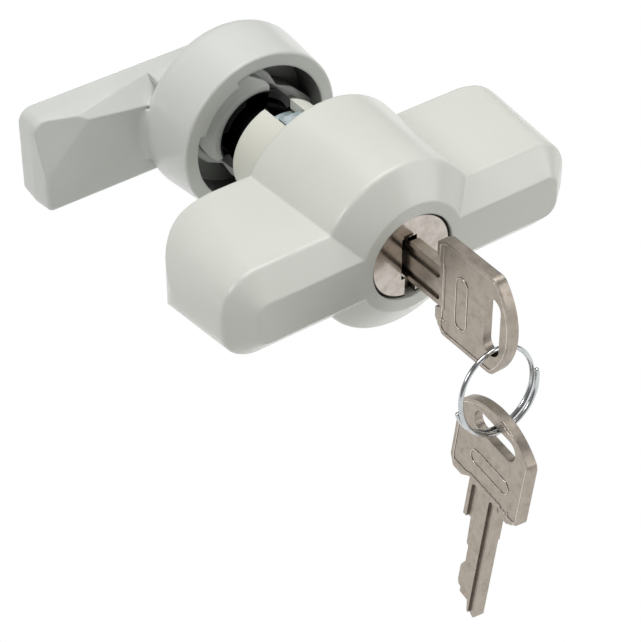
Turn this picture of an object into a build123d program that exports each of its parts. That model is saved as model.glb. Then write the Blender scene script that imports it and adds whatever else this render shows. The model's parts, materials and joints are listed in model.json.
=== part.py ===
from build123d import *
import math
import os

os.makedirs("parts", exist_ok=True)

# Enclosure key lock: wing knob, wafer lock, clutch and rear lever. All sizes are in millimetres.
# Y is the turning axis and the key enters towards +Y. The wings lie along X and +Z is up.
# The origin is on the axis, on the knob's rear face, which meets the panel.

# Fits
run_fit = 0.08           # radial play of a turning or sliding fit
press_fit = 0.02         # radial play of a fixed fit
end_play = 0.15          # play between faces that move past each other
cover_fit = 0.1          # play round the cover plates
cut_over = 1.0           # how far a cut runs past what it cuts
pin_gap = 0.2            # room past a pin's end

# Front knob
handle_depth = 29.0
bevel_depth = 4.6        # the bevel round the front, along Y
bevel_inset = 5.15       # how far the bevel draws the wings in
barrel_rear_r = 19.9
barrel_bevel_r = 18.7
barrel_nose_r = 12.1     # flat ring round the lock face
wing_span = 82.0
wing_height = 19.7
wing_drop = 0.35         # how far the wings' middle lies under the axis
wing_tip_r = 8.0
wing_rear_span = 82.3
wing_rear_height = 19.7
wing_rear_soft_r = 15.0  # rear outline: two opposite corners are large
wing_rear_tight_r = 4.0  # and the other two small
wing_plan_r = 8.5        # rounding of the rear corners, seen from above
handle_edge_r = 1.2
handle_front_wall = 6.5
barrel_wall = 2.4
barrel_floor = 9.0
boss_r = 13.2
hollow_margin = 0.5      # how far the hollow's sides stand in from the plate's seat

# Cover plate in the knob's rear face, its screws and the gasket
cover_thick = 2.4
cover_rim = 1.5
cover_ledge = 1.0
cover_corner_r = 1.5
post_wall_gap = 1.3
post_gap = 0.75          # between the two screw posts of a wing
post_seal_gap = 0.1      # between the gasket and the post beside it
screw_length = 9.0
# The screws' other sizes are shares of the post's radius
screw_share = 0.393
screw_head_share = 0.82
screw_head_height_share = 0.5
cross_slot_width_share = 0.25
cross_slot_depth_share = 0.285
cross_slot_length_share = 1.0
seal_inner_r = 13.8
seal_outer_r = 16.8
seal_thick = 1.4

# Drive tube
tube_r = 11.0
tube_stub_r = 10.6       # the stretch inside the knob
tube_bore_r = 8.8
tube_end_y = 15.5
tube_front_y = -8.3
slot_width = 6.2
tube_pin_r = 0.9
tube_pin_y = -5.6

# Wafer lock: fixed housing and turning plug
face_r = 9.25
face_y = -28.4
face_thick = 1.8
face_bore_gap = 0.25
housing_r = 9.45
plug_r = 6.5
plug_rear_y = -3.9
keyway_width = 2.6
keyway_top = 4.7
keyway_floor = -4.9
keyway_mouth = 0.9       # how much wider the keyway's mouth is on the side of the flat face
keyway_mouth_depth = 2.2
housing_pin_r = 0.9
housing_pin_y = -17.4
housing_pin_reach = 1.6  # how near its end comes to the plug's bore
clip_thick = 0.7
clip_inner_r = 5.75
clip_outer_r = 8.3
clip_opening = 70.0      # degrees of the clip that are open
clip_fit = 0.05

# Wafers and their springs
wafer_count = 5
wafer_pitch = 3.4
wafer_thick = 1.5
wafer_width = 4.2
wafer_lift = 0.6         # how far a wafer drops when the key is out
wafer_first_y = -23.6
wafer_side_fit = 0.1     # play at a wafer's edges
wafer_face_fit = 0.06    # play at its faces
wafer_end_gap = 0.3      # room past its end in the housing
wafer_window_gap = 0.3   # room round the blade in its window
wafer_ear_height = 0.8
spring_r = 0.55
spring_length = 2.6
spring_fit = 0.12

# Cam shaft with two helical grooves
cam_r = 6.0
cam_end_y = 10.8
tongue_width = 2.9
tongue_depth = 1.25
tongue_fit = 0.05
clutch_travel = 10.0     # along Y for a quarter turn of the key
groove_r = 0.95
groove_overrun = 8.0     # degrees of groove past each end of the travel

# Clutch dog
dog_front_y = -2.6
dog_hub_length = 3.5
dog_hub_r = 8.7
finger_width = 5.0
finger_inner = 7.7
finger_top = 10.2
finger_shoulder_y = 12.0
finger_tip_y = 14.6
nose_r = 8.7
nose_bevel = 0.5
cam_pin_r = 0.85

# Spindle
flange_r = 8.7
flange_y = 11.1
flange_thick = 3.0
spindle_r = 7.5
spindle_step_y = 17.8
spindle_waist_r = 7.0
journal_r = 6.5
journal_y = 27.9
spindle_end_y = 36.6
spindle_bevel = 0.5
spindle_pin_r = 0.8
spindle_pin_inner = 4.0
finger_play = 0.2        # room beside a finger in the flange's slot
finger_under = 0.1       # room under it
oring_y = 32.0
oring_wire_r = 0.45
oring_groove_width = 1.08
spindle_thread_r = 2.1
spindle_thread_depth = 12.0

# Rear lever: cup, shelves in the cup, and arm
rim_y = 21.5
rim_r = 18.4
cup_rear_r = 19.7
cup_inner_r = 15.4
cup_floor_y = 30.0
lug_inner_r = 14.0
lug_centre = 136.0       # degrees from +X towards +Z
lug_span = 50.0
lip_y = 22.4
lip_width = 1.2
lip_bevel = 0.5
rim_edge_r = 0.5
shelf_y = 24.6           # shelf height where it meets the cup's wall
ledge_y = 25.6
shelf_corner_r = 2.0
# Each point of their outlines: how far along the lugs' direction, and how far across
shelf_edge = ((17.0, 6.2), (12.6, 6.9), (10.2, 8.6), (7.0, 9.4), (4.0, 9.7))
ledge_edge = ((17.0, 10.6), (7.5, 11.0), (4.0, 11.0), (1.5, 10.2), (0.0, 9.7))
lever_bore_r = 9.3
bore_step_y = 33.0       # behind this the bore is as wide as the recess
cup_rear_y = 36.5
cup_rear_edge_r = 3.0
arm_front_y = 35.0
arm_rear_y = 45.2
arm_parting_y = 39.7
arm_half_height = 10.2
arm_reach = 43.0
arm_top_corner_r = 3.2
arm_low_corner_r = 1.6
arm_draft = 0.35
arm_edge_r = 0.9
facet_top_x = 12.5       # tip facet: how far it reaches along the top, from the tip
facet_side_z = 12.4      # and down the tip
facet_depth = 3.9        # and back
slope_start_x = 30.3     # sloping cut along the arm's upper front edge, from near the tip
slope_start_drop = 1.7
slope_end_x = 14.6       # to the cup
slope_end_drop = 4.2
slope_depth = 5.8        # and how deep it is there
root_fillet_r = 1.8
recess_r = 8.4
recess_y = 36.5
cap_thick = 1.8
cap_skirt_wall = 1.4
cap_skirt_depth = 2.0

# Bush, washer and screw
bush_front_y = 22.6
notch_width = 5.5
notch_depth = 2.6
notch_outer_r = 8.8      # the bush's outer wall stays whole outside the notches
washer_r = 8.2
washer_thick = 1.5
washer_play = 0.2
lever_screw_r = 2.0
lever_screw_head_r = 4.2
lever_screw_head_height = 3.0
lever_screw_length = 11.0
socket_across = 4.0
socket_depth = 1.8

# Keys
key_thick = 2.2
key_shoulder_y = -37.6
bow_length = 21.6
bow_half_width = 11.2
bow_side_length = 16.9   # shoulder to where the far arc starts
bow_corner_r = 2.4
shoulder_slope = 2.2     # length of the sloping shoulder corners
shoulder_lead = 0.9      # how much less they take off across the key
shoulder_rise = 2.6      # length of the shoulder's upper foot
shoulder_drop = 0.8      # and of its lower one
shoulder_r = 0.8
neck_run = 1.7           # how far the neck runs into the bow
panel_start = 1.9        # shoulder to the step line across the bow
bow_rim = 0.8
bow_relief = 0.12
slot_centre = 16.4
key_slot_width = 4.5
key_slot_low = -6.8
key_slot_high = 6.5
neck_low = -4.9
neck_high = 4.5
key_stop = 8.3           # shoulder to stop
blade_length = 31.4      # shoulder to tip
blade_low = -4.6
blade_high = 3.0
flute_depth = 0.6
upper_flute = (1.2, 3.5)
lower_flute = (-3.8, -2.2)
flute_overrun = 1.0
# Each point of the blade's edges: how far from the tip, and how far above the lower edge
blade_nose = ((1.4, 0.0), (0.0, 1.2), (0.0, 1.9), (0.9, 2.8), (3.4, 3.2))
# or below the upper edge
blade_cuts = ((3.6, 1.6), (4.3, 0.3), (5.4, 0.0), (9.4, 0.0), (11.6, 1.2), (15.2, 1.8), (16.2, 0.5))

# Split ring and hanging key
wire_r = 0.5
ring_r = 8.9
ring_pitch = 1.5
ring_half_turns = 3
ring_tilt = 9.0          # degrees
ring_start = 190.0       # where the wire starts, in degrees round the ring
ring_slot_gap = 0.15
spare_gap = 0.45
spare_swing = (4.3, 3.4, -3.7)   # degrees about X, Y and Z from hanging straight

# The two posts of a wing fill the room between the gasket and the wing's end
post_limit = wing_rear_span / 2 - wing_plan_r - cover_rim - cover_ledge - post_wall_gap
post_r = (post_limit - seal_outer_r - post_seal_gap - post_gap) / 4
screw_r = screw_share * post_r
screw_head_r = screw_head_share * post_r
screw_head_height = screw_head_height_share * post_r
cross_slot_width = cross_slot_width_share * post_r
cross_slot_depth = cross_slot_depth_share * post_r
cross_slot_length = cross_slot_length_share * post_r

# Derived places
bevel_y = bevel_depth - handle_depth
clip_y = tube_front_y + end_play
housing_front_y = face_y + face_thick + end_play
housing_rear_y = tube_front_y
flange_rear_y = flange_y + flange_thick
dog_hub_rear_y = dog_front_y + dog_hub_length
cam_pin_y = (dog_front_y + dog_hub_rear_y) / 2
washer_y = spindle_end_y + press_fit
cap_y = arm_rear_y - cap_thick
boss_bore_r = face_r + face_bore_gap


def turned(*profile):
    """Solid of revolution about Y from (radius, y) points."""
    return revolve(make_face(Polyline(*profile, close=True)), Axis.Y)


def rod(radius, front, rear, x=0, z=0):
    """Round bar along Y."""
    return Pos(x, (front + rear) / 2, z) * Rot(90, 0, 0) * Cylinder(radius, rear - front)


def ring(inner, outer, front, rear):
    """Round tube along Y."""
    return rod(outer, front, rear) - rod(inner, front, rear)


def block(x0, x1, y0, y1, z0, z1):
    """Box between two corners."""
    return Pos((x0 + x1) / 2, (y0 + y1) / 2, (z0 + z1) / 2) * Box(x1 - x0, y1 - y0, z1 - z0)


def section(y):
    """Plane across the axis, where a sketch's x and y are the part's X and Z."""
    return Plane(origin=(0, y, 0), x_dir=(1, 0, 0), z_dir=(0, -1, 0))


def slab(sketch, front, rear):
    """Sketch in X and Z, extruded between two places along Y."""
    return extrude(section(rear) * sketch, amount=rear - front)


def radial_pin(radius, inner, outer, y, angle):
    """Round bar that points away from the axis, at an angle from +X towards +Z."""
    bar = Pos((inner + outer) / 2, 0, 0) * Rot(0, 90, 0) * Cylinder(radius, outer - inner)
    return Pos(0, y, 0) * Rot(0, -angle, 0) * bar


def edges_at(shape, y):
    """Edges that lie whole at one place along Y."""
    return [edge for edge in shape.edges() if max(abs(v.Y - y) for v in edge.vertices()) < 0.001]


def rear_outline(end_inset, inset):
    """Rear outline of the wings, drawn in at its ends and all round."""
    half_span = wing_rear_span / 2 - end_inset - inset
    half_height = wing_rear_height / 2 - inset
    outline = make_face(Polyline((-half_span, half_height), (half_span, half_height),
                                 (half_span, -half_height), (-half_span, -half_height), close=True))
    soft = [v for v in outline.vertices() if v.X * v.Y < 0]
    outline = fillet(soft, wing_rear_soft_r - inset)
    tight = [v for v in outline.vertices() if abs(v.X) > half_span - 1 and abs(v.Y) > half_height - 1]
    return Pos(0, -wing_drop) * fillet(tight, max(wing_rear_tight_r - inset, cover_corner_r))


def wing_body():
    """Both wings in one bar, with draft, front bevel and rounded rear corners."""
    rear = rear_outline(0, 0)
    middle = Pos(0, -wing_drop) * RectangleRounded(wing_span, wing_height, wing_tip_r)
    front = Pos(0, -wing_drop) * RectangleRounded(wing_span - 2 * bevel_inset, wing_height - 2 * bevel_inset,
                                                  wing_tip_r - bevel_inset)
    body = loft([section(0) * rear, section(bevel_y) * middle], ruled=True)
    bevel = loft([section(bevel_y) * middle, section(-handle_depth) * front], ruled=True)
    wings = body + bevel
    wings = fillet(edges_at(wings, bevel_y), handle_edge_r)
    wings = fillet(edges_at(wings, -handle_depth), handle_edge_r / 2)
    half_rear = wing_rear_span / 2
    half_front = wing_span / 2
    plan = make_face(Polyline((-half_rear, 0), (half_rear, 0), (half_front, bevel_y),
                              (half_front, -handle_depth), (-half_front, -handle_depth),
                              (-half_front, bevel_y), close=True))
    corners = [v for v in plan.vertices() if abs(v.Y) < 0.001]
    plan = fillet(corners, wing_plan_r)
    return wings & extrude(plan, amount=wing_rear_height, both=True)


def barrel_body():
    """Round barrel with its cone at the front."""
    barrel = turned((0, 0), (barrel_rear_r, 0), (barrel_bevel_r, bevel_y),
                    (barrel_nose_r, -handle_depth), (0, -handle_depth))
    barrel = fillet(edges_at(barrel, bevel_y), handle_edge_r)
    return fillet(edges_at(barrel, -handle_depth), handle_edge_r / 2)


def cover_outline(inset):
    """Outline of the recess in the rear face, drawn in by an inset."""
    return rear_outline(wing_plan_r, cover_rim + inset) + Circle(barrel_rear_r - cover_rim - inset)


def post_places():
    """Places of the four screw posts along X."""
    outer = post_limit - post_r
    inner = seal_outer_r + post_seal_gap + post_r
    return [-outer, -inner, inner, outer]


def front_handle():
    """Hollow wing knob, open at the rear under its cover plate."""
    floor_y = -handle_depth + handle_front_wall
    hollow = slab(rear_outline(wing_plan_r, cover_rim + cover_ledge + hollow_margin), floor_y, 0)
    hollow += rod(barrel_bevel_r - barrel_wall, -handle_depth + barrel_floor, 0)
    hollow -= rod(boss_r, -handle_depth, 0)
    for x in post_places():
        hollow -= rod(post_r, -handle_depth, 0, x)
    body = wing_body() + barrel_body() - hollow
    body -= slab(cover_outline(0), -cover_thick, 0)
    body -= rod(boss_bore_r, -handle_depth, housing_rear_y)
    body -= rod(tube_stub_r + press_fit, housing_rear_y, 0)
    for x in post_places():
        body -= rod(screw_r + press_fit, -screw_length - cut_over, 0, x)
    pin_end = boss_r + pin_gap
    for angle in (0, 180):
        body -= radial_pin(tube_pin_r + press_fit, tube_stub_r - cut_over, pin_end, tube_pin_y, angle)
    return body - radial_pin(housing_pin_r + press_fit, housing_r - cut_over, pin_end, housing_pin_y, 0)


def handle_back():
    """Cover plate, flush with the rear face, with a groove for the gasket."""
    plate = slab(cover_outline(cover_fit), -cover_thick, 0)
    plate -= rod(tube_stub_r + cover_fit, -cover_thick, 0)
    plate -= ring(seal_inner_r, seal_outer_r, -seal_thick, 0)
    for x in post_places():
        plate -= rod(screw_r + cover_fit, -cover_thick, 0, x)
        plate -= Pos(x, 0, 0) * screw_head(cover_fit)
    return plate


def screw_head(play):
    """Countersunk head, flush at y = 0."""
    return turned((0, 0), (screw_head_r + play, 0), (screw_r + play, -screw_head_height),
                  (0, -screw_head_height))


def back_screws():
    """Four countersunk screws with crossed slots."""
    screw = screw_head(0) + rod(screw_r, -screw_length, 0)
    half = cross_slot_width / 2
    slot = block(-half, half, -cross_slot_depth, 0, -cross_slot_length / 2, cross_slot_length / 2)
    screw -= slot + Rot(0, 90, 0) * slot
    return [Pos(x, 0, 0) * screw for x in post_places()]


def rear_seal():
    """Flat gasket in the cover plate's groove."""
    return ring(seal_inner_r + cover_fit, seal_outer_r - cover_fit, -seal_thick, 0)


def drive_tube():
    """Tube through the panel, thinner inside the knob, slotted at top and bottom for the fingers."""
    tube = ring(tube_bore_r, tube_stub_r, tube_front_y, 0) + ring(tube_bore_r, tube_r, 0, tube_end_y)
    slot_front = dog_front_y - 2 * end_play
    tube -= block(-slot_width / 2, slot_width / 2, slot_front, tube_end_y, -tube_r, tube_r)
    for angle in (0, 180):
        tube -= radial_pin(tube_pin_r + press_fit, tube_bore_r - cut_over, tube_r, tube_pin_y, angle)
    hole_end = tube_r + cut_over
    pin_y = flange_y + flange_thick / 2
    return tube - radial_pin(spindle_pin_r + press_fit, tube_bore_r - cut_over, hole_end, pin_y, 0)


def tube_pins():
    """Two pins through the boss and the tube."""
    inner = tube_bore_r + pin_gap
    return [radial_pin(tube_pin_r, inner, boss_r, tube_pin_y, angle) for angle in (0, 180)]


def wafer_places():
    """Middle of each wafer along Y."""
    return [wafer_first_y + i * wafer_pitch for i in range(wafer_count)]


def lock_housing():
    """Fixed sleeve round the plug, grooved on four sides for the wafers' ends."""
    sleeve = ring(plug_r + run_fit, housing_r, housing_front_y, housing_rear_y)
    reach = plug_r + wafer_lift + wafer_end_gap
    half = wafer_width / 2 + wafer_end_gap
    front = wafer_places()[0] - wafer_thick
    rear = wafer_places()[-1] + wafer_thick
    sleeve -= block(-half, half, front, rear, -reach, reach)
    sleeve -= block(-reach, reach, front, rear, -half, half)
    hole_start = plug_r + housing_pin_reach - pin_gap
    hole_end = housing_r + cut_over
    return sleeve - radial_pin(housing_pin_r + press_fit, hole_start, hole_end, housing_pin_y, 0)


def housing_pin():
    """Pin through the boss into the housing."""
    return radial_pin(housing_pin_r, plug_r + housing_pin_reach, boss_r, housing_pin_y, 0)


def lock_plug():
    """Plug with its face disc, keyway, wafer slots, clip groove and rear cross slot."""
    plug = rod(face_r, face_y, face_y + face_thick) + rod(plug_r, face_y, plug_rear_y)
    half = keyway_width / 2
    keyway_end = key_shoulder_y + blade_length + 2 * end_play
    plug -= block(-half, half, face_y, keyway_end, keyway_floor, keyway_top)
    plug -= block(-half, half, face_y, face_y + face_thick, -face_r, keyway_top)
    plug -= block(-half - keyway_mouth, half, face_y, face_y + keyway_mouth_depth,
                  keyway_floor, keyway_top)
    slot_half = wafer_width / 2 + wafer_side_fit
    for y in wafer_places():
        front = y - wafer_thick / 2 - wafer_face_fit
        rear = y + wafer_thick / 2 + wafer_face_fit
        plug -= block(-slot_half, slot_half, front, rear, -plug_r, plug_r)
        plug -= spring_pocket(y)
    plug -= ring(clip_inner_r - clip_fit, plug_r, clip_y - clip_fit, clip_y + clip_thick + clip_fit)
    tongue_half = tongue_width / 2 + tongue_fit
    plug -= block(-plug_r, plug_r, plug_rear_y - tongue_depth - tongue_fit, plug_rear_y,
                  -tongue_half, tongue_half)
    return plug


def spring_x():
    """Middle of a wafer spring, beside the wafer's edge."""
    return wafer_width / 2 + wafer_side_fit + spring_fit + spring_r


def spring_pocket(y):
    """Pocket beside a wafer slot."""
    pocket_half = spring_r + spring_fit
    half_length = spring_length / 2 + spring_fit
    x = spring_x()
    return block(x - 2 * pocket_half, x + pocket_half, y - pocket_half, y + pocket_half,
                 -half_length, half_length + wafer_ear_height)


def wafer_springs():
    """Small springs under the wafers' ears, as plain pins of their outer size."""
    pin = Pos(spring_x(), 0, -wafer_lift / 2) * Cylinder(spring_r, spring_length - wafer_lift)
    return [Pos(0, y, 0) * pin for y in wafer_places()]


def wafer_tumblers():
    """Flat wafers with a window for the blade and one ear over the spring."""
    reach = plug_r - wafer_side_fit
    top = blade_high + wafer_lift + wafer_window_gap
    wafers = []
    for y in wafer_places():
        front = y - wafer_thick / 2
        rear = y + wafer_thick / 2
        wafer = block(-wafer_width / 2, wafer_width / 2, front, rear, -reach, reach)
        wafer &= rod(reach, front, rear)
        ear_low = spring_length / 2
        ear = block(0, spring_x() + spring_r, y - spring_r, y + spring_r,
                    ear_low, ear_low + wafer_ear_height)
        wafer += ear
        window_half = key_thick / 2 + wafer_window_gap
        wafer -= block(-window_half, window_half, front, rear, keyway_floor, top)
        wafers.append(wafer)
    return wafers


def plug_clip():
    """Open clip in the plug's groove, behind the housing."""
    full = ring(clip_inner_r, clip_outer_r, clip_y, clip_y + clip_thick)
    reach = 2 * clip_outer_r
    spread = math.tan(math.radians(clip_opening / 2)) * reach
    opening = make_face(Polyline((0, 0), (-reach, spread), (-reach, -spread), close=True))
    return full - slab(opening, clip_y, clip_y + clip_thick)


def cam_groove(angle):
    """Helical channel for one cam pin, starting at an angle from +X towards +Z."""
    degrees_per_mm = 90 / clutch_travel
    overrun = groove_overrun / degrees_per_mm
    height = clutch_travel + 2 * overrun
    helix = Helix(4 * clutch_travel, height, cam_r, lefthand=True)
    profile = Plane(origin=helix @ 0, z_dir=helix % 0) * Circle(groove_r)
    channel = sweep(profile, path=helix, is_frenet=True)
    axis_plane = Plane(origin=(0, cam_pin_y - overrun, 0), x_dir=(1, 0, 0), z_dir=(0, 1, 0))
    return Rot(0, groove_overrun - angle, 0) * (axis_plane * channel)


def cam_shaft():
    """Shaft on the plug's rear end, with two helical grooves and a driving tongue."""
    shaft = rod(cam_r, plug_rear_y, cam_end_y)
    front = plug_rear_y - tongue_depth
    tongue = block(-cam_r, cam_r, front, plug_rear_y, -tongue_width / 2, tongue_width / 2)
    shaft += tongue & rod(cam_r, front, plug_rear_y)
    for angle in (0, 180):
        shaft -= cam_groove(angle)
    return shaft


def clutch_dog():
    """Sliding ring with two fingers that reach out through the tube's slots."""
    dog = ring(cam_r + run_fit, dog_hub_r, dog_front_y, dog_hub_rear_y)
    half = finger_width / 2
    finger = block(-half, half, dog_front_y, finger_shoulder_y, finger_inner, finger_top)
    finger = chamfer([e for e in edges_at(finger, finger_shoulder_y) if e.center().Z > nose_r],
                     nose_bevel)
    nose = block(-half, half, finger_shoulder_y, finger_tip_y, finger_inner, finger_top)
    nose &= rod(nose_r, finger_shoulder_y, finger_tip_y)
    finger += nose
    dog += finger + Rot(0, 180, 0) * finger
    dog -= rod(cam_r + run_fit, dog_front_y, finger_tip_y)
    for angle in (0, 180):
        dog -= radial_pin(cam_pin_r + press_fit, cam_r, dog_hub_r + cut_over, cam_pin_y, angle)
    return dog


def cam_pins():
    """Two ball-ended pins that run in the helical grooves."""
    pins = []
    for angle in (0, 180):
        ball = Pos(0, cam_pin_y, 0) * Rot(0, -angle, 0) * Pos(cam_r, 0, 0) * Sphere(cam_pin_r)
        pins.append(radial_pin(cam_pin_r, cam_r, dog_hub_r, cam_pin_y, angle) + ball)
    return pins


def spindle():
    """Fixed shaft in the tube's end that carries the lever."""
    oring_groove_r = journal_r - 2 * oring_wire_r
    shaft = turned((0, flange_y), (flange_r, flange_y), (flange_r, flange_rear_y),
                   (spindle_r, flange_rear_y), (spindle_r, spindle_step_y),
                   (spindle_waist_r, spindle_step_y + spindle_bevel), (spindle_waist_r, journal_y),
                   (journal_r, journal_y), (journal_r, spindle_end_y - spindle_bevel),
                   (journal_r - spindle_bevel, spindle_end_y), (0, spindle_end_y))
    half = oring_groove_width / 2
    shaft -= ring(oring_groove_r, journal_r, oring_y - half, oring_y + half)
    shaft -= rod(spindle_thread_r, spindle_end_y - spindle_thread_depth, spindle_end_y)
    half = finger_width / 2 + finger_play
    for turn in (0, 180):
        slot = block(-half, half, flange_y, flange_rear_y, finger_inner - finger_under, flange_r)
        shaft -= Rot(0, turn, 0) * slot
    hole_start = spindle_pin_inner - press_fit
    hole_end = flange_r + cut_over
    pin_y = flange_y + flange_thick / 2
    return shaft - radial_pin(spindle_pin_r + press_fit, hole_start, hole_end, pin_y, 0)


def spindle_pin():
    """Pin through the tube's wall into the flange, on the side away from the lever arm."""
    pin_y = flange_y + flange_thick / 2
    return radial_pin(spindle_pin_r, spindle_pin_inner, tube_r - pin_gap, pin_y, 0)


def spindle_oring():
    """Ring of round section in the spindle's groove."""
    middle_r = journal_r - oring_wire_r
    return Pos(0, oring_y, 0) * Rot(90, 0, 0) * Torus(middle_r, oring_wire_r - press_fit)


def shelf_outline(edge):
    """Outline of a shelf on both sides of the bore, from the points of one quarter."""
    far_side = [(along, -across) for along, across in reversed(edge)]
    side = make_face(Polyline(*edge, *far_side, close=True))
    corners = [v for v in side.vertices() if 1 < v.X < cup_inner_r]
    side = fillet(corners, shelf_corner_r)
    return Rot(0, 0, lug_centre) * side + Rot(0, 0, lug_centre + 180) * side


def cup_inside():
    """Shelves and ledges between the bore and the cup's wall."""
    lip_r = lever_bore_r + lip_width
    shelf = turned((0, lip_y), (lip_r, lip_y), (lip_r + lip_bevel, lip_y + lip_bevel),
                   (cup_inner_r, shelf_y), (cup_inner_r, cup_floor_y), (0, cup_floor_y))
    shelf &= slab(shelf_outline(shelf_edge), lip_y, cup_floor_y)
    ledge = rod(cup_inner_r, ledge_y, cup_floor_y)
    ledge &= slab(shelf_outline(ledge_edge), ledge_y, cup_floor_y)
    return shelf + ledge


def lugs():
    """Two places where the cup's wall is thicker."""
    reach = 2 * cup_inner_r
    spread = math.tan(math.radians(lug_span / 2)) * reach
    sector = make_face(Polyline((0, 0), (reach, spread), (reach, -spread), close=True))
    wall = ring(lug_inner_r, (cup_inner_r + rim_r) / 2, rim_y, cup_floor_y)
    both = Rot(0, 0, lug_centre) * sector + Rot(0, 0, lug_centre + 180) * sector
    return wall & slab(both, rim_y, cup_floor_y)


def arm_outline(inset):
    """Outline of the lever arm, round at the hub, drawn in by an inset."""
    half = arm_half_height - inset
    reach = arm_reach - inset
    sides = Polyline((0, half), (-reach, half), (-reach, -half), (0, -half))
    outline = make_face(sides + ThreePointArc((0, -half), (half, 0), (0, half)))
    top = [v for v in outline.vertices() if v.X < 1 - reach and v.Y > 0]
    outline = fillet(top, arm_top_corner_r)
    low = [v for v in outline.vertices() if v.X < 1 - reach and v.Y < 1 - half]
    return fillet(low, arm_low_corner_r)


def arm_bar():
    """Lever arm, drafted both ways from the parting line, with rounded edges."""
    front_half = loft([section(arm_front_y) * arm_outline(arm_draft),
                       section(arm_parting_y) * arm_outline(0)], ruled=True)
    rear_half = loft([section(arm_parting_y) * arm_outline(0),
                      section(arm_rear_y) * arm_outline(arm_draft)], ruled=True)
    bar = front_half + rear_half
    bar = fillet(edges_at(bar, arm_front_y) + edges_at(bar, arm_rear_y), arm_edge_r)
    return split(bar, tip_facet(), keep=Keep.TOP) - edge_slope()


def tip_facet():
    """Plane that cuts the corner off the arm's tip, from its top, front and end."""
    along_top = Vector(facet_top_x - arm_reach, arm_front_y, arm_half_height)
    down_end = Vector(-arm_reach, arm_front_y, arm_half_height - facet_side_z)
    back = Vector(-arm_reach, arm_front_y + facet_depth, arm_half_height)
    return Plane(origin=along_top, z_dir=(down_end - along_top).cross(back - along_top))


def edge_slope():
    """What the sloping cut takes off the arm's upper front edge, deeper towards the cup."""
    start = Vector(-slope_start_x, arm_front_y, arm_half_height - slope_start_drop)
    low = Vector(-slope_end_x, arm_front_y, arm_half_height - slope_end_drop)
    back = Vector(-slope_end_x, arm_front_y + slope_depth, arm_half_height)
    stock = block(-arm_reach - cut_over, -slope_end_x, arm_front_y - cut_over,
                  arm_front_y + slope_depth + cut_over,
                  arm_half_height - slope_end_drop - cut_over, arm_half_height + cut_over)
    return split(stock, Plane(origin=start, z_dir=(low - start).cross(back - start)), keep=Keep.TOP)


def root_fillet():
    """Hollow fillet between the cup's wall and the arm's front."""
    size = root_fillet_r
    wall_r = cup_rear_r - (cup_rear_r - rim_r) * (cup_rear_y - arm_front_y + size) / (cup_rear_y - rim_y)
    start = (wall_r, arm_front_y - size)
    middle = (wall_r + 0.29 * size, arm_front_y - 0.29 * size)
    end = (wall_r + size, arm_front_y)
    back_y = arm_front_y + arm_draft
    line = Polyline(end, (wall_r + size, back_y), (wall_r - size, back_y),
                    (wall_r - size, arm_front_y - size), start)
    fillet_ring = revolve(make_face(ThreePointArc(start, middle, end) + line), Axis.Y)
    side = Pos(-arm_reach / 2, 0) * Rectangle(arm_reach, 2 * (arm_half_height - slope_end_drop))
    return fillet_ring & slab(side, arm_front_y - size, back_y)


def rear_lever():
    """Cup, shelves, hub and arm in one moulding."""
    cup = turned((0, cup_floor_y), (cup_inner_r, cup_floor_y), (cup_inner_r, rim_y),
                 (rim_r, rim_y), (cup_rear_r, cup_rear_y), (0, cup_rear_y))
    inner_length = 2 * math.pi * cup_inner_r
    outer_edges = [edge for edge in edges_at(cup, rim_y) if edge.length > inner_length + 1]
    cup = fillet(outer_edges, rim_edge_r)
    cup = fillet(edges_at(cup, cup_rear_y), cup_rear_edge_r)
    lever = cup + cup_inside() + lugs() + arm_bar() + root_fillet()
    lever -= rod(lever_bore_r, rim_y, bore_step_y)
    return lever - rod(recess_r, bore_step_y - cut_over, arm_rear_y + cut_over)


def lever_bush():
    """Black bush in the lever's bore, with four notches for the clutch fingers."""
    outer = lever_bore_r - press_fit
    rear_outer = recess_r - press_fit
    shoulder_y = bore_step_y - press_fit
    step_y = journal_y + end_play
    inner = finger_inner - finger_under
    bush = turned((inner, bush_front_y), (outer, bush_front_y), (outer, shoulder_y),
                  (rear_outer, shoulder_y), (rear_outer, recess_y),
                  (journal_r + run_fit, recess_y), (journal_r + run_fit, step_y), (inner, step_y))
    half = notch_width / 2
    rear = bush_front_y + notch_depth
    notches = block(-half, half, bush_front_y, rear, -outer, outer)
    notches += block(-outer, outer, bush_front_y, rear, -half, half)
    return bush - (notches & rod(notch_outer_r, bush_front_y, rear))


def lever_washer():
    """Washer on the spindle's end that keeps the lever on."""
    return ring(lever_screw_r + washer_play, washer_r, washer_y, washer_y + washer_thick)


def lever_screw():
    """Socket screw into the spindle's end."""
    seat = washer_y + washer_thick
    screw = rod(lever_screw_r, seat - lever_screw_length, seat)
    screw += rod(lever_screw_head_r, seat, seat + lever_screw_head_height)
    socket = slab(RegularPolygon(socket_across / math.sqrt(3), 6),
                  seat + lever_screw_head_height - socket_depth, seat + lever_screw_head_height)
    return screw - socket


def lever_cap():
    """Cap pressed into the hub's recess."""
    cap = rod(recess_r - press_fit, cap_y, arm_rear_y)
    skirt = ring(recess_r - cap_skirt_wall, recess_r - press_fit, cap_y - cap_skirt_depth, cap_y)
    return cap + skirt


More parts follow.
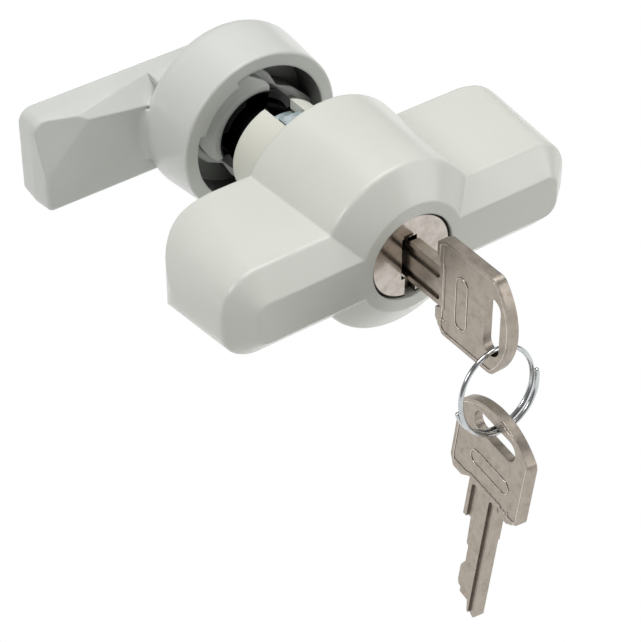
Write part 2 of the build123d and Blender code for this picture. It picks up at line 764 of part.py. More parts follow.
def bow_outline():
    """Bow of the key: two shoulders, straight sides and a round far end."""
    half = bow_half_width
    lower_foot = shoulder_slope - half + shoulder_lead
    upper_foot = half - shoulder_slope + shoulder_lead
    corners = [(bow_side_length, -half), (shoulder_slope, -half), (0, lower_foot),
               (0, neck_low - shoulder_drop), (neck_run, neck_low), (neck_run, neck_high),
               (0, neck_high + shoulder_rise), (0, upper_foot), (shoulder_slope, half),
               (bow_side_length, half)]
    far_end = ThreePointArc(corners[-1], (bow_length, 0), corners[0])
    bow = make_face(Polyline(*corners) + far_end)
    far = [v for v in bow.vertices() if abs(v.X - bow_side_length) < 0.001]
    bow = fillet(far, bow_corner_r)
    feet_y = neck_high + shoulder_slope
    near = [v for v in bow.vertices() if v.X < shoulder_slope + 0.001 and abs(v.Y) > feet_y]
    return fillet(near, shoulder_r)


def key_outline():
    """Flat key: x runs from the shoulder to the bow, y across the key."""
    neck = Pos((neck_run - key_stop) / 2, (neck_high + neck_low) / 2)
    neck *= Rectangle(neck_run + key_stop, neck_high - neck_low)
    return bow_outline() + neck + blade_outline()


def blade_outline():
    """Cut blade: one tooth near the tip, a shallow cut behind it and a narrow nose."""
    nose = [(along - blade_length, blade_low + up) for along, up in blade_nose]
    cuts = [(along - blade_length, blade_high - down) for along, down in blade_cuts]
    return make_face(Polyline((0, blade_low), *nose, *cuts, (0, blade_high), close=True))


def flat_key():
    """One key about its shoulder, with its thickness centred on the sketch plane."""
    half = key_thick / 2
    body = extrude(key_outline(), amount=half, both=True)
    panel = offset(bow_outline(), -bow_rim)
    panel &= Pos(bow_length + panel_start, 0) * Rectangle(2 * bow_length, 4 * bow_half_width)
    for side in (half - bow_relief, -half):
        body -= Pos(0, 0, side) * extrude(panel, amount=bow_relief)
    slot_length = key_slot_high - key_slot_low
    slot = Pos(slot_centre, (key_slot_high + key_slot_low) / 2)
    slot *= Rot(0, 0, 90) * SlotOverall(slot_length, key_slot_width)
    body -= extrude(slot, amount=key_thick, both=True)
    for low, high in (upper_flute, lower_flute):
        width = high - low
        length = blade_length + 2 * flute_overrun
        flute = Pos(-blade_length / 2, (low + high) / 2) * SlotOverall(length, width)
        for side in (half - flute_depth, -half):
            body -= Pos(0, 0, side) * extrude(flute, amount=flute_depth)
    return body


def key_plane():
    """Key in the lock: bow towards -Y, its cut edge up."""
    return Plane(origin=(0, key_shoulder_y, 0), x_dir=(0, -1, 0), z_dir=(-1, 0, 0))


def ring_top():
    """Middle of the wire where the ring hangs in the key's slot."""
    end_r = key_slot_width / 2
    drop = end_r - wire_r - ring_slot_gap
    return Vector(0, key_shoulder_y - slot_centre, key_slot_low + end_r - drop)


def ring_frame():
    """Plane of the ring: x along X, y up the ring, origin at its centre."""
    up = Vector(0, math.sin(math.radians(ring_tilt)), math.cos(math.radians(ring_tilt)))
    centre = ring_top() - up * ring_r
    return Plane(origin=centre, x_dir=(1, 0, 0), z_dir=Vector(1, 0, 0).cross(up))


def key_ring():
    """Split ring: half turns of round wire, each tilted by half the pitch."""
    def place(angle, offset):
        turn = math.radians(angle)
        return Vector(ring_r * math.cos(turn), ring_r * math.sin(turn), offset)

    first = -ring_half_turns * ring_pitch / 4
    arcs = []
    for i in range(ring_half_turns):
        start = first + i * ring_pitch / 2
        angle = ring_start + 180 * i
        arcs.append(ThreePointArc(place(angle, start), place(angle + 90, start + ring_pitch / 4),
                                  place(angle + 180, start + ring_pitch / 2)))
    path = Wire([edge for arc in arcs for edge in arc.edges()])
    turns = [math.dist(arcs[0] @ t, arcs[-1] @ t) - 2 * wire_r for t in (i / 40 for i in range(41))]
    print("least gap between the ring's turns:", round(min(turns), 3), "mm")
    tangent = path % 0
    profile = Plane(origin=path @ 0, z_dir=tangent) * Circle(wire_r)
    return ring_frame() * sweep(profile, path=path)


def spare_key():
    """Second key, hanging on the ring by its slot."""
    bottom = ring_frame().from_local_coords(Vector(0, -ring_r, 0))
    slot_top = slot_centre + key_slot_width / 2
    hang = Pos(*bottom) * Rot(*spare_swing)
    upright = Plane(origin=(0, 0, 0), x_dir=(0, 0, 1), z_dir=(-1, 0, 0))
    drop = slot_top - wire_r - spare_gap
    return hang * (upright * (Pos(-drop, 0, 0) * flat_key()))


def save(name, shape):
    """Write one piece, or a group of separate pieces, as a STEP file."""
    solids = shape if isinstance(shape, list) else [shape]
    parts = [solid for item in solids for solid in item.solids()]
    whole = parts[0] if len(parts) == 1 else Compound(children=parts)
    whole.label = name
    export_step(whole, "parts/" + name + ".step")


save("front_handle", front_handle())
save("handle_back", handle_back())
save("back_screws", back_screws())
save("rear_seal", rear_seal())
save("drive_tube", drive_tube())
save("tube_pins", tube_pins())
save("lock_housing", lock_housing())
save("housing_pin", housing_pin())
save("lock_plug", lock_plug())
save("plug_clip", plug_clip())
save("wafer_tumblers", wafer_tumblers())
save("wafer_springs", wafer_springs())
save("cam_shaft", cam_shaft())
save("clutch_dog", clutch_dog())
save("cam_pins", cam_pins())
save("spindle", spindle())
save("spindle_pin", spindle_pin())
save("spindle_oring", spindle_oring())
save("rear_lever", rear_lever())
save("lever_bush", lever_bush())
save("lever_washer", lever_washer())
save("lever_screw", lever_screw())
save("lever_cap", lever_cap())
save("key", key_plane() * flat_key())
save("key_ring", key_ring())
save("spare_key", spare_key())
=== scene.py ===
import json
import math

import bmesh
import bpy
import numpy as np
from mathutils import Matrix, Vector


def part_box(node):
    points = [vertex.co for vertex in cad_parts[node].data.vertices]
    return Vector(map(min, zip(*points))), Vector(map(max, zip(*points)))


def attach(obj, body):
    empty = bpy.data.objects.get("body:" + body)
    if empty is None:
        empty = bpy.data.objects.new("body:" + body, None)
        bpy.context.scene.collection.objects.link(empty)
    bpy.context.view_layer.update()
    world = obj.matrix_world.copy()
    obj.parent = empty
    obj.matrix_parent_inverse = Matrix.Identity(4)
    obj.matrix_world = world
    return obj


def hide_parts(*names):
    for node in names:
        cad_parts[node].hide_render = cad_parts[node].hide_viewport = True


# Enclosure key lock with its two keys. Everything is in metres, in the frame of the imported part:
# Y is the turning axis, the wings lie along X, +Z is up.

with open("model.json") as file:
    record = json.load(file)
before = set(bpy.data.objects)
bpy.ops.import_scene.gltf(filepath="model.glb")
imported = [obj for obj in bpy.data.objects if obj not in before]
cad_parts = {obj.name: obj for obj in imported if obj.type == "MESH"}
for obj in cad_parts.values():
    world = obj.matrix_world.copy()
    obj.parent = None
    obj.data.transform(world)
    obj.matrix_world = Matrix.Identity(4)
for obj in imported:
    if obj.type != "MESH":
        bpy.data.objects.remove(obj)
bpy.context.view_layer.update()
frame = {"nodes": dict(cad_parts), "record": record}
nodes = frame["nodes"]
mm = 0.001
print("frame loaded:", len(nodes), "nodes")


# Shader maths: a Signal is one socket of numbers, and Python's operators on it add the nodes
class Signal:
    def __init__(self, graph, socket):
        self.graph = graph
        self.socket = socket

    def maths(self, operation, first, second=None):
        values = {0: first} if second is None else {0: first, 1: second}
        return self.graph.add("ShaderNodeMath", {"operation": operation}, values)

    def __add__(self, other):
        return self.maths("ADD", self, other)

    __radd__ = __add__

    def __sub__(self, other):
        return self.maths("SUBTRACT", self, other)

    def __rsub__(self, other):
        return self.maths("SUBTRACT", other, self)

    def __mul__(self, other):
        return self.maths("MULTIPLY", self, other)

    __rmul__ = __mul__

    def ceiling(self, high):
        return self.maths("MINIMUM", self, high)

    def root(self):
        return self.maths("SQRT", self)

    # 0 where the signal is under start, 1 over end, smooth between
    def ramp(self, start, end):
        settings = {"interpolation_type": "SMOOTHSTEP", "clamp": True}
        values = {"Value": self, "From Min": start, "From Max": end}
        return self.graph.add("ShaderNodeMapRange", settings, values)


class Graph:
    # It fills the node tree of a material, or of a world
    def __init__(self, holder, outputKind="ShaderNodeOutputMaterial"):
        self.holder = holder
        holder.use_nodes = True
        self.tree = holder.node_tree
        self.tree.nodes.clear()
        self.output = self.tree.nodes.new(outputKind)

    # Any node: its type, its settings, then values or signals for its sockets
    def add(self, kind, settings=None, values=None, out=0):
        node = self.tree.nodes.new(kind)
        for name, value in (settings or {}).items():
            setattr(node, name, value)
        for name, value in (values or {}).items():
            if isinstance(value, Signal):
                self.tree.links.new(value.socket, node.inputs[name])
            else:
                node.inputs[name].default_value = value
        return Signal(self, node.outputs[out])

    def place(self):
        return self.add("ShaderNodeTexCoord", out="Object")

    def axes(self, vector):
        return [self.add("ShaderNodeSeparateXYZ", None, {"Vector": vector}, out=i) for i in range(3)]

    def noise(self, vector, scale, detail=3.0, rough=0.5):
        values = {"Vector": vector, "Scale": scale, "Detail": detail, "Roughness": rough}
        return self.add("ShaderNodeTexNoise", None, values, out="Fac")

    def blend(self, factor, first, second):
        def colour(c):
            return c if isinstance(c, Signal) else (*c, 1.0)
        values = {0: factor, 6: colour(first), 7: colour(second)}
        return self.add("ShaderNodeMix", {"data_type": "RGBA"}, values, out=2)

    def bump(self, height, distance, under=None):
        values = {"Height": height, "Distance": distance, "Strength": 1.0}
        if under is not None:
            values["Normal"] = under
        return self.add("ShaderNodeBump", None, values, out="Normal")

    # 0 in the open, towards 1 in a hollow no wider than the reach: where the finishes paint shade
    def hollow(self, reach):
        settings = {"samples": 8}
        return 1.0 - self.add("ShaderNodeAmbientOcclusion", settings, {"Distance": reach}, out="AO")

    def rounded(self, radius):
        return self.add("ShaderNodeBevel", {"samples": 6}, {"Radius": radius}, out="Normal")

    # How far the rounded normal leans from the flat one: 0 on a face, up to 1 on an edge
    def edgeMask(self, rounded, sharpness):
        flat = self.add("ShaderNodeNewGeometry", out="Normal")
        settings = {"operation": "DOT_PRODUCT"}
        lean = 1.0 - self.add("ShaderNodeVectorMath", settings, {0: rounded, 1: flat}, out="Value")
        return (lean * sharpness).ceiling(1.0)

    def finish(self, values):
        self.surface(self.add("ShaderNodeBsdfPrincipled", None, values))
        return self.holder

    def surface(self, shader):
        self.tree.links.new(shader.socket, self.output.inputs["Surface"])


# Moulded plastic: faint flow mottling, small specks, fine grain, polished edges with a painted
# highlight, handling marks, and painted shade in its deep hollows
def mouldedPlastic(name, look):
    graph = Graph(bpy.data.materials.new(name))
    place = graph.place()
    flow = graph.noise(place, look["flowScale"], detail=4.0).ramp(*look["flowRamp"])
    speck = graph.noise(place, look["speckScale"], detail=2.0).ramp(*look["speckRamp"])
    handled = graph.noise(place, look["handledScale"], detail=5.0, rough=0.6).ramp(*look["handledRamp"])
    grain = graph.noise(place, look["grainScale"], detail=2.0, rough=0.6)
    ripple = graph.noise(place, look["rippleScale"], detail=1.0)
    rounded = graph.rounded(look["edgeRadius"])
    edge = graph.edgeMask(rounded, look["edgeSharpness"])
    colour = graph.blend(flow, look["colour"], look["flowColour"])
    colour = graph.blend(speck * look["speckShare"], colour, look["speckColour"])
    # painted highlight: a paler colour along the edges
    colour = graph.blend(edge * look["edgeHighlightAndWearShare"], colour, look["edgeHighlightAndWearColour"])
    # painted shade: a darker colour where ambient occlusion finds a hollow
    hollowShade = graph.hollow(look["hollowShadeReach"]).ramp(*look["hollowShadeRamp"]) * look["hollowShadeShare"]
    colour = graph.blend(hollowShade, colour, look["hollowShadeColour"])
    rough = look["rough"] + handled * look["handledRough"] - edge * look["edgePolish"]
    soft = graph.bump(ripple, look["rippleDepth"], rounded)
    normal = graph.bump(grain, look["grainDepth"], soft)
    return graph.finish({"Base Color": colour, "Roughness": rough, "Normal": normal,
                         "IOR": look["bending"], "Specular IOR Level": look["gloss"]})


# A roughness that crosses 0.274 shows as hard patches, so each finish keeps to one side of it
knobLook = {
    "colour": (0.700, 0.716, 0.655),
    "flowColour": (0.725, 0.738, 0.680), "flowScale": 55.0, "flowRamp": (0.3, 0.7),
    "speckColour": (0.55, 0.55, 0.48), "speckScale": 900.0, "speckRamp": (0.62, 0.78),
    "speckShare": 0.10,
    # painted highlight along the edges
    "edgeHighlightAndWearColour": (0.90, 0.91, 0.87), "edgeHighlightAndWearShare": 0.55, "edgeRadius": 0.6 * mm,
    "edgeSharpness": 3.0, "edgePolish": 0.08,
    # painted shade in the knob's hollows
    "hollowShadeColour": (0.16, 0.16, 0.145), "hollowShadeShare": 0.5, "hollowShadeReach": 7.0 * mm,
    "hollowShadeRamp": (0.45, 1.0),
    "rough": 0.215, "handledRough": 0.045, "handledScale": 70.0, "handledRamp": (0.2, 0.8),
    "grainScale": 2600.0, "grainDepth": 0.012 * mm, "rippleScale": 90.0, "rippleDepth": 0.05 * mm,
    "bending": 1.5, "gloss": 0.5,
}
# The lever's cup is painted nearly black deep inside, as shade
leverLook = dict(knobLook, colour=(0.660, 0.678, 0.640), flowColour=(0.690, 0.706, 0.668),
                 edgeHighlightAndWearColour=(0.86, 0.875, 0.84), edgeRadius=0.8 * mm, rough=0.205, hollowShadeShare=0.95,
                 hollowShadeColour=(0.06, 0.062, 0.060), hollowShadeReach=14.0 * mm)
tubeLook = dict(knobLook, colour=(0.700, 0.700, 0.610), flowColour=(0.730, 0.730, 0.650),
                edgeRadius=0.3 * mm, rough=0.42)
blackLook = dict(knobLook, colour=(0.012, 0.012, 0.013), flowColour=(0.020, 0.020, 0.021),
                 speckColour=(0.05, 0.05, 0.05), edgeHighlightAndWearColour=(0.08, 0.08, 0.08), edgeRadius=0.25 * mm,
                 rough=0.22, gloss=0.3, hollowShadeShare=0.0)
rubberLook = dict(blackLook, rough=0.62, gloss=0.3, grainDepth=0.03 * mm)


# Bare or plated metal: cloudy plating, drawn scratches, darker stains, brighter edges that are partly
# worn plating and partly a painted highlight, painted shade in its narrow hollows and, on the lock's
# disc, a painted shadow line round the rim
def platedMetal(name, look):
    graph = Graph(bpy.data.materials.new(name))
    place = graph.place()
    cloud = graph.noise(place, look["cloudScale"], detail=5.0, rough=0.6).ramp(*look["cloudRamp"])
    stain = graph.noise(place, look["stainScale"], detail=6.0, rough=0.65).ramp(*look["stainRamp"])
    drawn = graph.add("ShaderNodeMapping", None, {"Vector": place, "Scale": look["drawn"]})
    scratch = graph.noise(drawn, look["scratchScale"], detail=3.0, rough=0.7)
    pits = graph.noise(place, look["pitScale"], detail=2.0)
    rounded = graph.rounded(look["edgeRadius"])
    edge = graph.edgeMask(rounded, look["edgeSharpness"])
    colour = graph.blend(cloud, look["colour"], look["cloudColour"])
    colour = graph.blend(stain * look["stainShare"], colour, look["stainColour"])
    # brighter edges: partly worn plating, partly a painted highlight
    colour = graph.blend(edge * look["edgeHighlightAndWearShare"], colour, look["edgeHighlightAndWearColour"])
    # painted shade: a darker colour where ambient occlusion finds a narrow hollow
    creviceShade = graph.hollow(look["creviceShadeReach"]).ramp(*look["creviceShadeRamp"]) * look["creviceShadeShare"]
    colour = graph.blend(creviceShade, colour, look["creviceShadeColour"])
    # painted shadow: a dark line round the disc's rim, in the colour of the painted hollow shade
    if "rimShadowRamp" in look:
        x, _, z = graph.axes(place)
        rim = (x * x + z * z).root().ramp(*look["rimShadowRamp"])
        colour = graph.blend(rim, colour, look["creviceShadeColour"])
    rough = look["rough"] + cloud * look["cloudRough"] + stain * look["stainRough"]
    rough = rough + (scratch - 0.5) * look["scratchRough"]
    lines = graph.bump(scratch, look["scratchDepth"], rounded)
    normal = graph.bump(pits, look["pitDepth"], lines)
    return graph.finish({"Base Color": colour, "Metallic": 1.0, "Roughness": rough, "Normal": normal})


zincLook = {
    "colour": (0.56, 0.70, 0.74),
    "cloudColour": (0.82, 0.92, 0.94), "cloudScale": 420.0, "cloudRamp": (0.3, 0.72),
    "stainColour": (0.30, 0.38, 0.42), "stainScale": 620.0, "stainRamp": (0.45, 0.8),
    "stainShare": 0.7,
    # brighter edges: partly worn plating, partly a painted highlight
    "edgeHighlightAndWearColour": (0.75, 0.80, 0.83), "edgeHighlightAndWearShare": 0.6, "edgeRadius": 0.18 * mm,
    "edgeSharpness": 3.0,
    # painted shade in narrow hollows
    "creviceShadeColour": (0.020, 0.017, 0.014), "creviceShadeShare": 0.75, "creviceShadeReach": 1.2 * mm,
    "creviceShadeRamp": (0.15, 0.6),
    "drawn": (1.0, 0.06, 1.0), "scratchScale": 2200.0, "scratchDepth": 0.006 * mm,
    "pitScale": 3000.0, "pitDepth": 0.004 * mm,
    "rough": 0.32, "cloudRough": 0.10, "stainRough": 0.08, "scratchRough": 0.06,
}
brassLook = dict(zincLook, colour=(0.60, 0.45, 0.20), cloudColour=(0.70, 0.55, 0.27),
                 stainColour=(0.30, 0.20, 0.09), edgeHighlightAndWearColour=(0.90, 0.75, 0.42))
blackMetalLook = dict(zincLook, colour=(0.012, 0.012, 0.013), cloudColour=(0.022, 0.022, 0.024),
                      stainColour=(0.006, 0.006, 0.006), edgeHighlightAndWearColour=(0.10, 0.10, 0.10), rough=0.17,
                      cloudRough=0.04, stainRough=0.02)
ringLook = dict(zincLook, colour=(0.52, 0.54, 0.55), cloudColour=(0.66, 0.68, 0.69),
                stainColour=(0.22, 0.23, 0.24), stainShare=0.35, edgeHighlightAndWearColour=(0.80, 0.82, 0.83),
                rough=0.14, cloudRough=0.06, stainRough=0.02, drawn=(1.0, 1.0, 1.0),
                scratchDepth=0.003 * mm)
nickelLook = dict(zincLook, colour=(0.375, 0.328, 0.278), cloudColour=(0.45, 0.398, 0.343),
                  stainColour=(0.20, 0.155, 0.115), stainShare=0.45, edgeHighlightAndWearColour=(0.70, 0.65, 0.58),
                  rough=0.315, cloudRough=0.08, drawn=(1.0, 1.0, 0.08), scratchDepth=0.005 * mm)
# The disc gets a painted shadow line round its rim, from 8.88 to 9.0 mm out
faceLook = dict(nickelLook, colour=(0.46, 0.415, 0.37), cloudColour=(0.60, 0.55, 0.50), rough=0.13,
                cloudRough=0.05, stainRough=0.03, stainShare=0.18, drawn=(1.0, 1.0, 1.0),
                scratchScale=1500.0, scratchDepth=0.003 * mm, rimShadowRamp=(8.88 * mm, 9.0 * mm))
coinedLook = dict(nickelLook, colour=(0.66, 0.60, 0.53), cloudColour=(0.78, 0.72, 0.65), rough=0.18,
                  cloudRough=0.04, stainRough=0.02)

# One finish for each material slot of the record, and two more for details of the nickel pieces
finishes = {
    "knob_plastic": mouldedPlastic("softGreyNylon", knobLook),
    "lever_plastic": mouldedPlastic("coolGreyNylon", leverLook),
    "tube_plastic": mouldedPlastic("creamNylon", tubeLook),
    "black_plastic": mouldedPlastic("blackNylon", blackLook),
    "black_rubber": mouldedPlastic("blackRubber", rubberLook),
    "black_metal": platedMetal("blackenedSteel", blackMetalLook),
    "zinc_steel": platedMetal("blueZinc", zincLook),
    "nickel": platedMetal("wornNickel", nickelLook),
    "ring_steel": platedMetal("brightWire", ringLook),
    "brass": platedMetal("waferBrass", brassLook),
    "disc": platedMetal("polishedDisc", faceLook),
    "coined": platedMetal("rubbedNickel", coinedLook),
}
print("finishes made:", len(finishes))


# A CAD node keeps its shape and gets a finish
def dress(node, material):
    item = nodes[node]
    if not item.material_slots:
        item.data.materials.append(material)
    for slot in item.material_slots:
        slot.material = material


for row in frame["record"]["subparts"]:
    dress(row["node"], finishes[row["material_slot"]])
dress("lock_plug", finishes["disc"])
print("nodes dressed")


# A surface from a grid of points (rows, columns, 3); a closed way wraps round
def gridSurface(name, points, closedRows=False, closedColumns=False):
    rows, columns = points.shape[:2]
    i = np.arange(rows if closedRows else rows - 1)[:, None]
    j = np.arange(columns if closedColumns else columns - 1)[None, :]
    nextI = (i + 1) % rows
    nextJ = (j + 1) % columns
    corners = [i * columns + j, i * columns + nextJ, nextI * columns + nextJ, nextI * columns + j]
    faces = np.stack([np.broadcast_to(c, (i.size, j.size)) for c in corners], -1).reshape(-1, 4)
    mesh = bpy.data.meshes.new(name)
    mesh.from_pydata(points.reshape(-1, 3).tolist(), [], faces.tolist())
    work = bmesh.new()
    work.from_mesh(mesh)
    bmesh.ops.remove_doubles(work, verts=work.verts, dist=1e-7)
    bmesh.ops.recalc_face_normals(work, faces=work.faces)
    work.to_mesh(mesh)
    work.free()
    mesh.shade_smooth()
    item = bpy.data.objects.new(name, mesh)
    bpy.context.scene.collection.objects.link(item)
    return item


# Round wire along a path: at each point a circle of the radius given for that point, square to
# the path, with its first direction square to a fixed axis
def wireAlong(path, radius, axis, sides):
    tangent = np.gradient(path, axis=0)
    tangent /= np.linalg.norm(tangent, axis=1, keepdims=True)
    side = np.cross(tangent, axis)
    side /= np.linalg.norm(side, axis=1, keepdims=True)
    other = np.cross(tangent, side)
    turn = np.linspace(0, 2 * np.pi, sides, endpoint=False)[None, :, None]
    circle = np.cos(turn) * side[:, None] + np.sin(turn) * other[:, None]
    return path[:, None] + radius[:, None, None] * circle


# The wire's radius at each point of the path: full, but falling to nothing as a quarter circle
# does within the rounding's length of either end
def roundedEnds(path, wire, rounding):
    step = np.linalg.norm(np.diff(path, axis=0), axis=1)
    along = np.concatenate([[0.0], np.cumsum(step)])
    nearest = np.minimum(along, along[-1] - along)
    short = np.clip(1 - nearest / rounding, 0, 1)
    return wire * np.sqrt(np.clip(1 - short ** 2, 0, 1))


# Split ring: a helix of constant radius. The offset along the ring's axis grows evenly with the
# angle, over one and a half turns. The first and last step are cut finer, for the rounded ends.
splitRing = {"wire": 0.5 * mm, "radius": 8.9 * mm, "pitch": 1.5 * mm, "tilt": 9.0, "start": 190.0,
             "turns": 1.5, "top": (0.0, -54.0 * mm, -6.15 * mm), "endRounding": 0.35 * mm,
             "steps": 400, "endSteps": 8, "sides": 20}


def makeSplitRing(ring):
    tilt = math.radians(ring["tilt"])
    up = np.array([0.0, math.sin(tilt), math.cos(tilt)])
    across = np.array([1.0, 0.0, 0.0])
    axis = np.cross(across, up)
    centre = np.array(ring["top"]) - up * ring["radius"]
    share = np.linspace(0, 1, ring["steps"])
    share = np.concatenate([np.linspace(0, share[1], ring["endSteps"])[:-1], share[1:-1],
                            np.linspace(share[-2], 1, ring["endSteps"])[1:]])
    angle = math.radians(ring["start"]) + share * ring["turns"] * 2 * np.pi
    offset = (share - 0.5) * ring["turns"] * ring["pitch"]
    path = (centre + ring["radius"] * (np.cos(angle)[:, None] * across + np.sin(angle)[:, None] * up)
            + offset[:, None] * axis)
    radius = roundedEnds(path, ring["wire"], ring["endRounding"])
    item = gridSurface("splitRing", wireAlong(path, radius, axis, ring["sides"]), closedColumns=True)
    item.data.materials.append(finishes["ring_steel"])
    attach(item, "ring")
    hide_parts("key_ring")


makeSplitRing(splitRing)
print("split ring made")


# Wafer springs: helices along Z, side by side along Y. The rise grows with the angle, less a
# share of one sine wave, so that the coils lie closer together at both ends.
waferSpring = {"count": 5, "wire": 0.14 * mm, "turns": 6.0, "closing": 0.6, "steps": 260, "sides": 8}


def makeWaferSprings(spring):
    low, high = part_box("wafer_springs")
    outer = (high.x - low.x) / 2
    centreX = (high.x + low.x) / 2
    wire = spring["wire"]
    height = high.z - low.z - 2 * wire
    share = np.linspace(0, 1, spring["steps"])
    rise = share - np.sin(2 * np.pi * share) / (2 * np.pi) * spring["closing"]
    angle = share * spring["turns"] * 2 * np.pi
    coil = outer - wire
    for i, y in enumerate(np.linspace(low.y + outer, high.y - outer, spring["count"])):
        path = np.stack([centreX + coil * np.cos(angle), y + coil * np.sin(angle),
                         low.z + wire + rise * height], -1)
        radius = roundedEnds(path, wire, wire)
        coils = wireAlong(path, radius, np.array([0.0, 0.0, 1.0]), spring["sides"])
        item = gridSurface(f"waferSpring.{i + 1}", coils, closedColumns=True)
        item.data.materials.append(finishes["zinc_steel"])
        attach(item, "plug")
        if i == 0:
            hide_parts("wafer_springs")


makeWaferSprings(waferSpring)
print("wafer springs made")


# Coined lines on the keys. Each is a thin round bead half sunk in the face, along a line that is
# resampled evenly and then averaged over a short window, which rounds its corners.
# A key's own directions: first along it, from the shoulder to the bow, then across, then through it.
# The lines' places are in millimetres from the middle of the shoulder.
coinedLines = {
    "bead": 0.11 * mm, "beadSides": 10, "step": 0.12 * mm, "window": 9, "face": 1.03 * mm,
    "farCentre": 5.905, "farRadius": 14.895, "farSteps": 60, "side": 10.4,
    "rimStart": [(0.75, 5.9), (0.75, 9.45), (2.45, 10.4)],
    "rimEnd": [(2.45, -10.4), (0.75, -9.5), (0.75, -7.0)],
    "badge": (7.4, -0.6), "badgeLength": 12.2, "badgeWidth": 3.3, "badgeSteps": 24,
    "stepLine": [(1.95, 6.0), (1.95, -7.4)],
    "tick": [(0.9, -8.3), (2.1, -7.5), (2.9, -7.9)],
}


# Points at even steps along a line of straight pieces
def evenLine(points, step):
    length = np.concatenate([[0.0], np.cumsum(np.linalg.norm(np.diff(points, axis=0), axis=1))])
    along = np.linspace(0, length[-1], max(int(length[-1] / step), 12))
    return np.stack([np.interp(along, length, points[:, k]) for k in range(2)], -1)


# Mean over a window; an open line is held at its ends, a closed one wraps round
def softLine(points, window, closed):
    half = window // 2
    if closed:
        held = np.concatenate([points[-half:], points, points[:half]])
    else:
        held = np.concatenate([np.repeat(points[:1], half, 0), points, np.repeat(points[-1:], half, 0)])
    return np.stack([np.convolve(held[:, k], np.ones(window) / window, "valid") for k in range(2)], -1)


# The rim: up the near shoulder, along one side, round the far arc, back along the other side.
# The arc's ends are where its circle meets the two sides.
def rimLine(look):
    reach = math.asin(look["side"] / look["farRadius"])
    turn = np.linspace(reach, -reach, look["farSteps"])
    arc = np.stack([look["farCentre"] + look["farRadius"] * np.cos(turn),
                    look["farRadius"] * np.sin(turn)], -1)
    return np.concatenate([look["rimStart"], arc, look["rimEnd"]])


# The plain badge: a long oval, two straight sides joined by half circles
def badgeLine(look):
    radius = look["badgeWidth"] / 2
    straight = look["badgeLength"] / 2 - radius
    turn = np.linspace(0, np.pi, look["badgeSteps"])
    far = np.stack([radius * np.cos(turn), straight + radius * np.sin(turn)], -1)
    return np.array(look["badge"]) + np.concatenate([far, -far])


# Where the two keys lie: the first straight in the lock, the second hanging on the ring, turned
# about X, Y and Z from hanging straight. The shoulder's place is from the second key's hanging point.
keyPlaces = {"shoulderY": -37.6 * mm, "hangingShoulder": -17.7 * mm, "hangingTurn": (4.3, 3.4, -3.7),
             "hangingPoint": (0.0, -56.7845 * mm, -23.7309 * mm)}


def inLock(points):
    return np.stack([-points[:, 2], keyPlaces["shoulderY"] - points[:, 0], points[:, 1]], -1)


def onRing(points):
    low = np.stack([-points[:, 2], points[:, 1], points[:, 0] + keyPlaces["hangingShoulder"]], -1)
    a, b, c = np.radians(keyPlaces["hangingTurn"])
    turnX = np.array([[1, 0, 0], [0, np.cos(a), -np.sin(a)], [0, np.sin(a), np.cos(a)]])
    turnY = np.array([[np.cos(b), 0, np.sin(b)], [0, 1, 0], [-np.sin(b), 0, np.cos(b)]])
    turnZ = np.array([[np.cos(c), -np.sin(c), 0], [np.sin(c), np.cos(c), 0], [0, 0, 1]])
    return low @ (turnX @ turnY @ turnZ).T + np.array(keyPlaces["hangingPoint"])


# The lines that run back into themselves are closed; the others have rounded ends
def makeCoinedLines(look):
    lines = {"rim": (rimLine(look), False), "badge": (badgeLine(look), True),
             "stepLine": (np.array(look["stepLine"]), False), "tick": (np.array(look["tick"]), False)}
    places = {"key": (inLock, "key"), "spareKey": (onRing, "spare")}
    bead = look["bead"]
    for keyName, (place, body) in places.items():
        through = place(np.array([(0, 0, 0), (0, 0, 1)], float))
        for lineName, (line, closed) in lines.items():
            line = line * mm
            if closed:
                line = np.concatenate([line, line[:1]])
            flat = evenLine(line, look["step"])
            flat = softLine(flat[:-1] if closed else flat, look["window"], closed)
            for side in (1, -1):
                path = place(np.column_stack([flat, np.full(len(flat), side * look["face"])]))
                radius = np.full(len(path), bead) if closed else roundedEnds(path, bead, bead)
                tube = wireAlong(path, radius, through[1] - through[0], look["beadSides"])
                label = f"{keyName}.{lineName}.{'front' if side > 0 else 'back'}"
                item = gridSurface(label, tube, closedRows=closed, closedColumns=True)
                item.data.materials.append(finishes["coined"])
                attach(item, body)


makeCoinedLines(coinedLines)
print("coined lines made")


# Camera at the photograph's place: where it stands, its right, up and backward directions
camera = {"place": (-0.23232, -0.31778, 0.28866), "right": (0.8090, -0.5878, 0.0021),
          "up": (0.3720, 0.5148, 0.7724), "lens": 138.453, "sensor": 36.0, "near": 0.01, "far": 20.0}


def makeCamera(look):
    data = bpy.data.cameras.new("camera")
    data.sensor_fit = "HORIZONTAL"
    data.sensor_width = look["sensor"]
    data.lens = look["lens"]
    data.clip_start = look["near"]
    data.clip_end = look["far"]
    item = bpy.data.objects.new("camera", data)
    bpy.context.scene.collection.objects.link(item)
    right = Vector(look["right"]).normalized()
    up = Vector(look["up"])
    up = (up - right * up.dot(right)).normalized()
    back = right.cross(up)
    turn = Matrix((right, up, back)).transposed().to_4x4()
    item.matrix_world = Matrix.Translation(look["place"]) @ turn
    bpy.context.scene.camera = item


makeCamera(camera)
print("camera placed")


# Studio: a pale floor well under the hanging keys, a soft dome and three wide lamps
studio = {
    "floorZ": -0.165, "floorSize": 6.0, "floorLines": 9, "floorColour": (0.86, 0.86, 0.85),
    "dome": 0.25, "domeLow": 0.20,                     # from above, from below
    "domeRamp": (-0.3, 0.8),                           # the upward share of a ray's direction
    "lamps": [
        {"name": "topLamp", "place": (0.10, 0.10, 0.80), "aim": (0, 0, 0),
         "size": 0.75, "power": 4.6},
        {"name": "leftLamp", "place": (-0.62, 0.10, 0.50), "aim": (0, 0, 0),
         "size": 0.30, "power": 1.7},
        {"name": "frontLamp", "place": (0.60, -0.60, 0.25), "aim": (0, 0, -0.01),
         "size": 0.6, "power": 2.0},
    ],
}


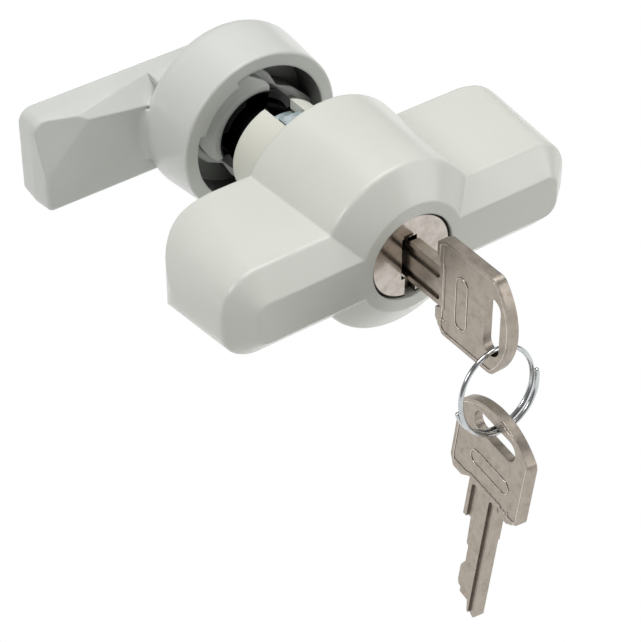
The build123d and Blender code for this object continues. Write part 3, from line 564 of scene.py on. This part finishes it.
# 1 for the camera's rays and for rays by way of metal or glass, 0 for all other light
def seenDirectly(graph):
    path = [graph.add("ShaderNodeLightPath", out=name)
            for name in ("Is Camera Ray", "Is Glossy Ray", "Is Transmission Ray")]
    return (path[0] + path[1] + path[2]).ceiling(1.0)


def makeStudio(look):
    line = np.linspace(-0.5, 0.5, look["floorLines"]) * look["floorSize"]
    x, y = np.meshgrid(line, line, indexing="ij")
    floor = gridSurface("studioFloor", np.stack([x, y, np.full(x.shape, look["floorZ"])], -1))
    graph = Graph(bpy.data.materials.new("paleFloor"))
    matt = graph.add("ShaderNodeBsdfDiffuse", None, {"Color": (*look["floorColour"], 1.0)})
    white = graph.add("ShaderNodeEmission", None, {"Color": (1, 1, 1, 1), "Strength": 1.0})
    graph.surface(graph.add("ShaderNodeMixShader", None, {0: seenDirectly(graph), 1: matt, 2: white}))
    floor.data.materials.append(graph.holder)

    sky = Graph(bpy.data.worlds.new("studioWorld"), "ShaderNodeOutputWorld")
    bpy.context.scene.world = sky.holder
    up = sky.axes(sky.add("ShaderNodeTexCoord", out="Generated"))[2]
    light = look["domeLow"] + up.ramp(*look["domeRamp"]) * (look["dome"] - look["domeLow"])
    soft = sky.add("ShaderNodeBackground", None, {"Color": (1, 1, 1, 1), "Strength": light})
    white = sky.add("ShaderNodeBackground", None, {"Color": (1, 1, 1, 1), "Strength": 1.0})
    fromCamera = sky.add("ShaderNodeLightPath", out="Is Camera Ray")
    sky.surface(sky.add("ShaderNodeMixShader", None, {0: fromCamera, 1: soft, 2: white}))

    for lamp in look["lamps"]:
        data = bpy.data.lights.new(lamp["name"], "AREA")
        data.shape = "DISK"
        data.size = lamp["size"]
        data.energy = lamp["power"]
        item = bpy.data.objects.new(lamp["name"], data)
        bpy.context.scene.collection.objects.link(item)
        item.location = lamp["place"]
        aim = Vector(lamp["aim"]) - Vector(lamp["place"])
        item.rotation_euler = aim.to_track_quat("-Z", "Y").to_euler()
    bpy.context.scene.view_settings.view_transform = "Standard"


makeStudio(studio)
print("studio ready")
